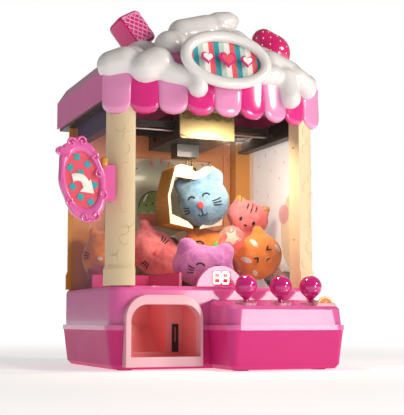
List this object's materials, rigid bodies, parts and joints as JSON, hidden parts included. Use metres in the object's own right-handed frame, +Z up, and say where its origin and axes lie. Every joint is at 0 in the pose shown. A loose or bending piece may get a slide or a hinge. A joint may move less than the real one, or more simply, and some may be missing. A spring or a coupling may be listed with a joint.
{
  "type": "toy claw crane machine",
  "caption": "Tabletop toy claw crane machine: glazed sweet-shop cabinet, bridge crane with a two-jaw claw, prize chute, joystick console and an icing-topped roof.",
  "frame": {"origin": "centre of the cabinet base, on the floor under its middle foot", "axes": "+Z up, the front with the prize door and the console faces -Y, +X to the right seen from the front"},
  "size_m": [0.3542, 0.293, 0.4572],
  "materials": {
    "magenta": "satin",
    "rubber_black": "matte",
    "steel": "satin",
    "light_pink": "gloss",
    "pale_pink": "gloss",
    "coral": "gloss",
    "black_plastic": "satin",
    "crimson_clear": "gloss",
    "led_red": "gloss",
    "cream": "satin",
    "clear": "gloss",
    "printed_back": "printed",
    "dark_brown": "satin",
    "dark_pink": "gloss",
    "scallop_pink": "gloss",
    "icing_white": "gloss",
    "sign_stripes": "printed",
    "wafer_magenta": "gloss",
    "strawberry_red": "gloss",
    "coral_print": "printed",
    "teal_white": "printed",
    "stick_magenta": "high gloss",
    "orange": "gloss",
    "board_green": "satin",
    "beige": "satin",
    "nylon_white": "satin",
    "chain_steel": "polished",
    "claw_cream": "gloss"
  },
  "bodies": {
    "cabinet": {"base_tub": "magenta", "feet": "rubber_black", "case_screws": "steel", "deck_shell": "light_pink", "prize_floor": "pale_pink", "prize_door_frame": "pale_pink", "prize_chute": "coral", "chute_slot_plate": "black_plastic", "chute_fence": "crimson_clear", "display_housing": "light_pink", "display_panel": "led_red", "column_front_left": "cream", "column_front_right": "cream", "column_back_left": "cream", "column_back_right": "cream", "window_left": "clear", "window_right": "clear", "window_front": "clear", "back_frame": "cream", "ceiling_frame": "dark_brown", "bridge_rails": "dark_brown", "roof_shell": "light_pink", "scallops_dark": "dark_pink", "scallops_light": "scallop_pink", "icing": "icing_white", "sign_bezel": "icing_white", "sign_plate": "sign_stripes", "wafer": "wafer_magenta", "strawberry": "strawberry_red", "shop_sign_frame": "light_pink", "shop_sign_plate": "coral_print", "shop_sign_relief": "teal_white", "shop_sign_bracket": "light_pink", "joystick_bezels": "pale_pink", "joystick_brackets": "black_plastic", "coin_bezel": "pale_pink", "battery_cover": "magenta", "batteries": "steel", "circuit_board": "board_green", "speaker": "black_plastic"},
    "loading_door": {"loading_door": "printed_back"},
    "joystick_left": {"joystick_left": "stick_magenta"},
    "joystick_middle": {"joystick_middle": "stick_magenta"},
    "joystick_right": {"joystick_right": "stick_magenta"},
    "token": {"token": "orange"},
    "power_switch": {"power_switch": "black_plastic"},
    "bridge": {"bridge": "black_plastic"},
    "bridge_axle": {"bridge_axle": "steel"},
    "trolley": {"trolley_housing": "black_plastic", "trolley_hangers": "black_plastic", "trolley_cover": "beige", "hoist_motor": "steel"},
    "trolley_axle": {"trolley_axle": "steel"},
    "hoist_spool": {"hoist_spool": "nylon_white"},
    "claw": {"claw_hub": "steel", "lift_chains": "chain_steel", "claw_pin": "nylon_white"},
    "jaw_left": {"jaw_left": "claw_cream"},
    "jaw_right": {"jaw_right": "claw_cream"}
  },
  "joints": [
    {"name": "bridge_slide", "type": "slide", "parent": "cabinet", "child": "bridge", "axis": [0, 1, 0], "range_m": [-0.04, 0.018]},
    {"name": "trolley_slide", "type": "slide", "parent": "bridge", "child": "trolley", "axis": [1, 0, 0], "range_m": [-0.08, 0.056]},
    {"name": "claw_lift", "type": "slide", "parent": "trolley", "child": "claw", "axis": [0, 0, 1], "range_m": [-0.055, 0.004]},
    {"name": "jaw_left_hinge", "type": "hinge", "parent": "claw", "child": "jaw_left", "pos_m": [0.012, 0.02, 0.248], "axis": [0, 1, 0], "range_deg": [-3, 20]},
    {"name": "jaw_right_hinge", "type": "hinge", "parent": "claw", "child": "jaw_right", "pos_m": [0.012, 0.02, 0.248], "axis": [0, -1, 0], "range_deg": [-3, 20]},
    {"name": "hoist_spin", "type": "hinge", "parent": "trolley", "child": "hoist_spool", "pos_m": [0.012, 0.0295, 0.312], "axis": [1, 0, 0], "range_deg": [-432, 60]},
    {"name": "bridge_axle_spin", "type": "hinge", "parent": "bridge", "child": "bridge_axle", "pos_m": [0, -0.014, 0.3048], "axis": [1, 0, 0], "range_deg": [-232, 512]},
    {"name": "trolley_axle_spin", "type": "hinge", "parent": "trolley", "child": "trolley_axle", "pos_m": [-0.012, 0.02, 0.3208], "axis": [0, 1, 0], "range_deg": [-1022, 716]},
    {"name": "joystick_left_tilt", "type": "hinge", "parent": "cabinet", "child": "joystick_left", "pos_m": [0.0195, -0.143, 0.068], "axis": [0, 1, 0], "range_deg": [-12, 12], "stiffness_Nm_per_rad": 0.08},
    {"name": "joystick_middle_tilt", "type": "hinge", "parent": "cabinet", "child": "joystick_middle", "pos_m": [0.0655, -0.143, 0.068], "axis": [1, 0, 0], "range_deg": [-12, 12], "stiffness_Nm_per_rad": 0.08},
    {"name": "joystick_right_tilt", "type": "hinge", "parent": "cabinet", "child": "joystick_right", "pos_m": [0.106, -0.143, 0.068], "axis": [1, 0, 0], "range_deg": [-12, 12], "stiffness_Nm_per_rad": 0.08},
    {"name": "token_drop", "type": "slide", "parent": "cabinet", "child": "token", "axis": [0, 0, -1], "range_m": [0, 0.014]},
    {"name": "loading_door_hinge", "type": "hinge", "parent": "cabinet", "child": "loading_door", "pos_m": [-0.085, 0.112, 0.2], "axis": [0, 0, 1], "range_deg": [0, 110]},
    {"name": "power_switch_slide", "type": "slide", "parent": "cabinet", "child": "power_switch", "axis": [1, 0, 0], "range_m": [0, 0.004]}
  ],
  "couplings": [
    {"joint": "jaw_right_hinge", "follows": "jaw_left_hinge", "ratio": 1},
    {"joint": "hoist_spin", "follows": "claw_lift", "rad_per_m": 125},
    {"joint": "bridge_axle_spin", "follows": "bridge_slide", "rad_per_m": -222.22},
    {"joint": "trolley_axle_spin", "follows": "trolley_slide", "rad_per_m": 222.22}
  ]
}
